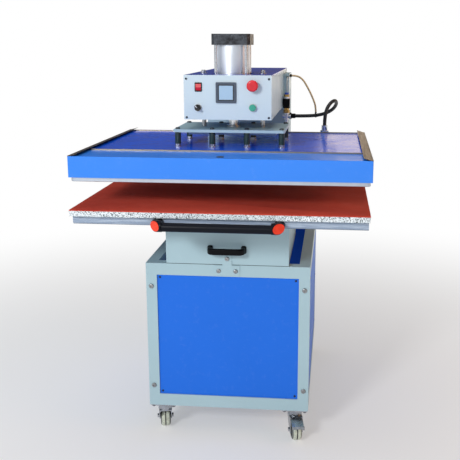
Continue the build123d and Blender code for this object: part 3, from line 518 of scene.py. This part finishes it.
# Which look each CAD node wears; nodes that a piece below replaces are not in the list.
LOOK = {
    "stand_frame": "frame_paint", "stand_panels": "blue_paint", "frame_screws": "bolt_heads",
    "caster_plates": "zinc", "pedestal_box": "pedestal_paint", "pedestal_handle": "black_plastic",
    "lock_plate": "frame_paint",
    "slide_rails": "chrome", "rear_column": "frame_paint", "beam_shell": "frame_paint",
    "beam_top_cover": "beam_top_paint", "control_panel": "panel_paint", "control_bezels": "bezel_parts",
    "touch_display": "display_face", "cylinder_caps": "cast_cap", "cylinder_barrel": "barrel",
    "cylinder_tie_rods": "chrome", "guide_bushes": "zinc", "air_valve": "black_plastic",
    "air_fittings": "fittings", "column_glands": "black_plastic",
    "cable_tie": "tie_plastic", "piston_rod": "chrome", "guide_rods": "nut_zinc",
    "carriage_plate": "frame_paint", "stiffener_bar": "frame_paint", "standoffs": "standoff_paint",
    "standoff_hardware": "standoff_hardware",
    "platen_cover_margins": "cover_paint", "platen_cover_top": "cover_top_paint",
    "cover_trim_strips": "trim_strips", "heater_platen": "platen", "heating_elements": "heater_tube",
    "platen_gland": "chrome", "table_tray": "tray_paint", "table_runners": "zinc",
    "handle_tube": "powder_black", "handle_brackets": "powder_black", "handle_end_caps": "orange_plastic",
    "power_rocker": "red_plastic", "selector_knob": "knob_black", "start_button": "green_plastic",
    "estop_plunger": "black_plastic", "estop_head": "red_plastic",
}
for name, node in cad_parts.items():
    if name.startswith("caster_fork") or name.startswith("brake_pedal"):
        LOOK[name] = "zinc"
    if name.startswith("caster_wheel"):
        LOOK[name] = name.replace("caster_wheel_", "wheel_")
    if name in LOOK:
        node.data.materials.clear()
        node.data.materials.append(SHADES[LOOK[name]].material)


# ---- mesh helpers ---------------------------------------------------------------------------------
def piece(name, verts, faces, look, body):
    """A smooth mesh with one material, riding on a body and standing for one CAD material."""
    mesh = bpy.data.meshes.new(name)
    mesh.from_pydata([tuple(v) for v in verts], [], faces)
    mesh.update()
    mesh.materials.append(SHADES[look].material)
    mesh.shade_smooth()
    made = bpy.data.objects.new(name, mesh)
    scene.collection.objects.link(made)
    if body:
        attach(made, body)
    return made


def ring_piece(name, rings, look, body, sharp_from):
    """A closed piece through rings of equal length, sharp where it turns by more than some degrees."""
    count = len(rings[0])
    verts = [v for ring in rings for v in ring]
    faces = []
    for i in range(len(rings) - 1):
        for k in range(count):
            j = (k + 1) % count
            faces.append((i * count + k, i * count + j, (i + 1) * count + j, (i + 1) * count + k))
    faces.append(tuple(reversed(range(count))))
    faces.append(tuple((len(rings) - 1) * count + k for k in range(count)))
    made = piece(name, verts, faces, look, body)
    made.data.set_sharp_from_angle(angle=math.radians(sharp_from))
    return made


def nurbs_line(points):
    """Points along the smooth curve that has these as its control points."""
    curve = bpy.data.curves.new("route", "CURVE")
    curve.dimensions = "3D"
    curve.resolution_u = 16
    spline = curve.splines.new("NURBS")
    spline.points.add(len(points) - 1)
    for mark, point in zip(spline.points, points):
        mark.co = (*point, 1)
    spline.order_u = 3
    spline.use_endpoint_u = True
    holder = bpy.data.objects.new("route", curve)
    scene.collection.objects.link(holder)
    mesh = bpy.data.meshes.new_from_object(holder.evaluated_get(bpy.context.evaluated_depsgraph_get()))
    line = [v.co.copy() for v in mesh.vertices]
    bpy.data.objects.remove(holder)
    bpy.data.meshes.remove(mesh)
    return line


def tube(name, line, radius, look, body, around):
    """A closed round tube that follows a line, with an even twist."""
    way = (line[1] - line[0]).normalized()
    across = way.orthogonal().normalized()
    rings = []
    for i, point in enumerate(line):
        before = line[max(i - 1, 0)]
        after = line[min(i + 1, len(line) - 1)]
        ahead_here = (after - before).normalized()
        across = (across - ahead_here * across.dot(ahead_here)).normalized()
        third = ahead_here.cross(across)
        rings.append([point + (across * math.cos(a) + third * math.sin(a)) * radius
                      for a in (2 * math.pi * k / around for k in range(around))])
    return ring_piece(name, rings, look, body, 50)


def rounded_outline(x0, x1, y0, y1, corner, step):
    """Points round a rectangle with rounded corners, with their outward directions."""
    found = []
    corners = ((x1 - corner, y1 - corner, 0), (x0 + corner, y1 - corner, 90),
               (x0 + corner, y0 + corner, 180), (x1 - corner, y0 + corner, 270))
    for k, (cx, cy, start) in enumerate(corners):
        for a in range(0, 91, 15):
            angle = math.radians(start + a)
            out = Vector((math.cos(angle), math.sin(angle), 0))
            found.append((Vector((cx, cy, 0)) + out * corner, out))
        nx, ny = corners[(k + 1) % 4][:2]
        angle = math.radians(start + 90)
        out = Vector((math.cos(angle), math.sin(angle), 0))
        a = Vector((cx, cy, 0)) + out * corner
        b = Vector((nx, ny, 0)) + out * corner
        count = int((b - a).length / step)
        found += [(a.lerp(b, i / count), out) for i in range(1, count)]
    return found


def slab(name, box, corner, step, profile, look, body, wander):
    """A flat slab whose edge follows a profile of (height share, inset) pairs, with a wandering edge."""
    low, high = box
    outline = rounded_outline(low.x, high.x, low.y, high.y, corner, step)
    rings = []
    for share, inset in profile:
        z = low.z + (high.z - low.z) * share
        ring = []
        for point, out in outline:
            drift = wander * (0.5 + noise.noise(Vector((point.x * 60, point.y * 60, z * 120))))
            place = point - out * (inset + max(0.0, drift))
            ring.append(Vector((place.x, place.y, z)))
        rings.append(ring)
    return ring_piece(name, rings, look, body, 40)


# ---- cables ---------------------------------------------------------------------------------------
HEATER_CABLE = ((203, 985, 1149), (264, 985, 1149), (322, 974, 1157), (364, 953, 1178), (384, 918, 1207),
                (379, 876, 1228), (360, 838, 1222), (342, 811, 1196), (335, 803, 1160), (335, 803, 1128))
SENSOR_LEAD = ((185, 985, 1325), (210, 985, 1325), (235, 981, 1308), (254, 976, 1278), (270, 974, 1248),
               (283, 974, 1219), (292, 975, 1193), (293, 977.5, 1168))
AIR_TUBE = ((172, 848, 1260), (172, 848, 1284), (172, 858, 1306), (172, 877, 1321), (172, 897, 1321))

cable_line = nurbs_line([at(*p) for p in HEATER_CABLE])
cable = tube("heater_cable_sheath", cable_line, 0.0075, "cable_rubber", None, 24)
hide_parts("heater_cable")
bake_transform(cable)

lead_line = nurbs_line([at(*p) for p in SENSOR_LEAD])
lead = tube("sensor_lead_braid", lead_line, 0.004, "lead_braid", "frame", 16)
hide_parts("sensor_lead")

air_line = nurbs_line([at(*p) for p in AIR_TUBE])
air = tube("air_tube_hose", air_line, 0.003, "clear_tube", "frame", 16)
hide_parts("air_tube")

# ---- soft pieces of the bed and the head ----------------------------------------------------------
sheet = slab("silicone_top_sheet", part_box("silicone_sheet"), 0.003, 0.01,
             ((0.0, 0.0), (0.3, 0.0), (0.7, 0.0001), (0.92, 0.0005), (1.0, 0.0012)),
             "red_silicone", "sliding_bed", 0.0006)
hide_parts("silicone_sheet")
pad = slab("sponge_bed_pad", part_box("foam_pad"), 0.003, 0.006,
           ((0.0, 0.0015), (0.1, 0.0004), (0.35, 0.0), (0.6, 0.0002), (0.85, 0.0), (1.0, 0.0006)),
           "speckled_sponge", "sliding_bed", 0.0022)
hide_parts("foam_pad")


def quilted_blanket():
    """Glass-wool blanket in its cloth, stitched in a square pattern, with a rounded edge."""
    low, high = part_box("insulation_blanket")
    nx, ny = 120, 96
    stitch_pitch = 0.08
    edge_round = 0.016
    thick = high.z - low.z

    def pillow(x, y):
        along_x = abs(math.sin(math.pi * (x - low.x) / stitch_pitch))
        along_y = abs(math.sin(math.pi * (y - low.y) / stitch_pitch))
        across = along_x * along_y
        edge = min(x - low.x, high.x - x, y - low.y, high.y - y)
        rounding = 1 - max(0.0, 1 - edge / edge_round) ** 2
        crumple = 0.0012 * noise.noise(Vector((x * 30, y * 30, 0)))
        flat = (thick / 2) * (0.45 * rounding + 0.15)
        return flat + (thick * 0.18) * across ** 0.4 * rounding + crumple * rounding

    verts, faces = [], []
    middle = (low.z + high.z) / 2
    for sign in (1, -1):
        for j in range(ny + 1):
            for i in range(nx + 1):
                x = low.x + (high.x - low.x) * i / nx
                y = low.y + (high.y - low.y) * j / ny
                verts.append((x, y, middle + sign * pillow(x, y)))
    layer = (nx + 1) * (ny + 1)
    for j in range(ny):
        for i in range(nx):
            a = j * (nx + 1) + i
            quad = (a, a + 1, a + nx + 2, a + nx + 1)
            faces.append(quad)
            faces.append(tuple(layer + k for k in reversed(quad)))
    rim = ([i for i in range(nx)] + [j * (nx + 1) + nx for j in range(ny)]
           + [ny * (nx + 1) + i for i in range(nx, 0, -1)] + [j * (nx + 1) for j in range(ny, 0, -1)])
    for a, b in zip(rim, rim[1:] + rim[:1]):
        faces.append((b, a, a + layer, b + layer))
    made = piece("quilted_blanket", verts, faces, "blanket_cloth", "press_head")
    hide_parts("insulation_blanket")


quilted_blanket()


def turned(name, centre, profile, look, body):
    """A round piece about Z from (radius, height) pairs."""
    around = 40
    rings = [[centre + Vector((math.cos(a) * radius, math.sin(a) * radius, height))
              for a in (2 * math.pi * k / around for k in range(around))] for radius, height in profile]
    return ring_piece(name, rings, look, body, 40)


cover_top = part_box("platen_cover_margins")[1].z * 1000
PLUG = ((0.0128, -0.0004), (0.013, 0.0006), (0.0124, 0.0013), (0.0092, 0.0018), (0.0086, 0.0013),
        (0.002, 0.0011))
turned("cover_blanking_plug", at(3, 57, cover_top), PLUG, "grommet_rubber", "press_head")

# ---- floor, light ---------------------------------------------------------------------------------
FLOOR = 40.0
FADE_FROM, FADE_TO = 0.8, 3.4   # distances over which the floor turns into the white background
floor_mesh = bpy.data.meshes.new("floor")
floor_z = cad_box[0].z
floor_mesh.from_pydata([(-FLOOR, -FLOOR, floor_z), (FLOOR, -FLOOR, floor_z), (FLOOR, FLOOR, floor_z),
                        (-FLOOR, FLOOR, floor_z)], [], [(0, 1, 2, 3)])
floor = bpy.data.objects.new("floor", floor_mesh)
scene.collection.objects.link(floor)
floor_look = Shade("floor_look", (0.84, 0.85, 0.86), 0.75)
tree = floor_look.tree
gap = floor_look.node("ShaderNodeVectorMath", operation="LENGTH")
floor_look.link(floor_look.space, gap.inputs[0])
far = floor_look.node("ShaderNodeMapRange", interpolation_type="SMOOTHSTEP")
far.inputs["From Min"].default_value = FADE_FROM
far.inputs["From Max"].default_value = FADE_TO
far.inputs["To Min"].default_value = 0.35
floor_look.link(gap.outputs["Value"], far.inputs["Value"])
white = floor_look.node("ShaderNodeEmission")
white.inputs["Color"].default_value = (1, 1, 1, 1)
fade = floor_look.node("ShaderNodeMixShader")
floor_look.link(far.outputs["Result"], fade.inputs[0])
floor_look.link(floor_look.shader.outputs[0], fade.inputs[1])
floor_look.link(white.outputs[0], fade.inputs[2])
floor_look.link(fade.outputs[0], tree.nodes["Material Output"].inputs["Surface"])
floor_mesh.materials.append(floor_look.material)

# White behind the object. What lights it, and what its metal mirrors, is a soft ramp across the scene.
RAMP_ACROSS = (0.6, 0.8, 0.0)
world = bpy.data.worlds.new("world")
scene.world = world
world.use_nodes = True
tree = world.node_tree
soft = tree.nodes["Background"]
soft.inputs["Strength"].default_value = 1.0
way = tree.nodes.new("ShaderNodeTexCoord")
split = tree.nodes.new("ShaderNodeVectorMath")
split.operation = "DOT_PRODUCT"
split.inputs[1].default_value = RAMP_ACROSS
tree.links.new(way.outputs["Generated"], split.inputs[0])
shades = tree.nodes.new("ShaderNodeValToRGB")
span = tree.nodes.new("ShaderNodeMapRange")
span.inputs["From Min"].default_value = -1.0
span.inputs["From Max"].default_value = 1.0
tree.links.new(split.outputs["Value"], span.inputs["Value"])
tree.links.new(span.outputs["Result"], shades.inputs["Fac"])
ends = shades.color_ramp.elements
ends[0].position, ends[0].color = 0.2, (0.5, 0.52, 0.55, 1)
ends[1].position, ends[1].color = 0.72, (0.07, 0.08, 0.09, 1)
for spot, colour in ((0.86, (0.1, 0.09, 0.08, 1)), (0.965, (0.46, 0.33, 0.2, 1))):
    ends.new(spot).color = colour
tree.links.new(shades.outputs["Color"], soft.inputs["Color"])
seen = tree.nodes.new("ShaderNodeBackground")
seen.inputs["Color"].default_value = (1, 1, 1, 1)
seen.inputs["Strength"].default_value = 1.0
ray = tree.nodes.new("ShaderNodeLightPath")
pick = tree.nodes.new("ShaderNodeMixShader")
tree.links.new(ray.outputs["Is Camera Ray"], pick.inputs[0])
tree.links.new(soft.outputs[0], pick.inputs[1])
tree.links.new(seen.outputs[0], pick.inputs[2])
tree.links.new(pick.outputs[0], tree.nodes["World Output"].inputs["Surface"])


def softbox(name, place, target, size, watts, colour=(1, 1, 1)):
    """A rectangular lamp at a place, facing a target."""
    light = bpy.data.lights.new(name, "AREA")
    light.shape = "RECTANGLE"
    light.size, light.size_y = size
    light.energy = watts
    light.color = colour
    made = bpy.data.objects.new(name, light)
    scene.collection.objects.link(made)
    made.location = place
    made.rotation_euler = (Vector(target) - Vector(place)).to_track_quat("-Z", "Y").to_euler()


softbox("key", (-1.9, -4.6, 2.9), (0, 0, 0.9), (0.9, 0.8), 128)
softbox("fill", (3.5, -0.9, 2.3), (0, 0, 0.8), (1.8, 1.8), 24, (1.0, 0.47, 0.2))
softbox("top", (-0.2, 0.2, 4.4), (0, 0, 1.0), (3.0, 3.0), 42)
softbox("back", (1.5, 4.4, 1.9), (0.4, 0, 1.1), (2.6, 1.8), 13, (1.0, 0.86, 0.7))
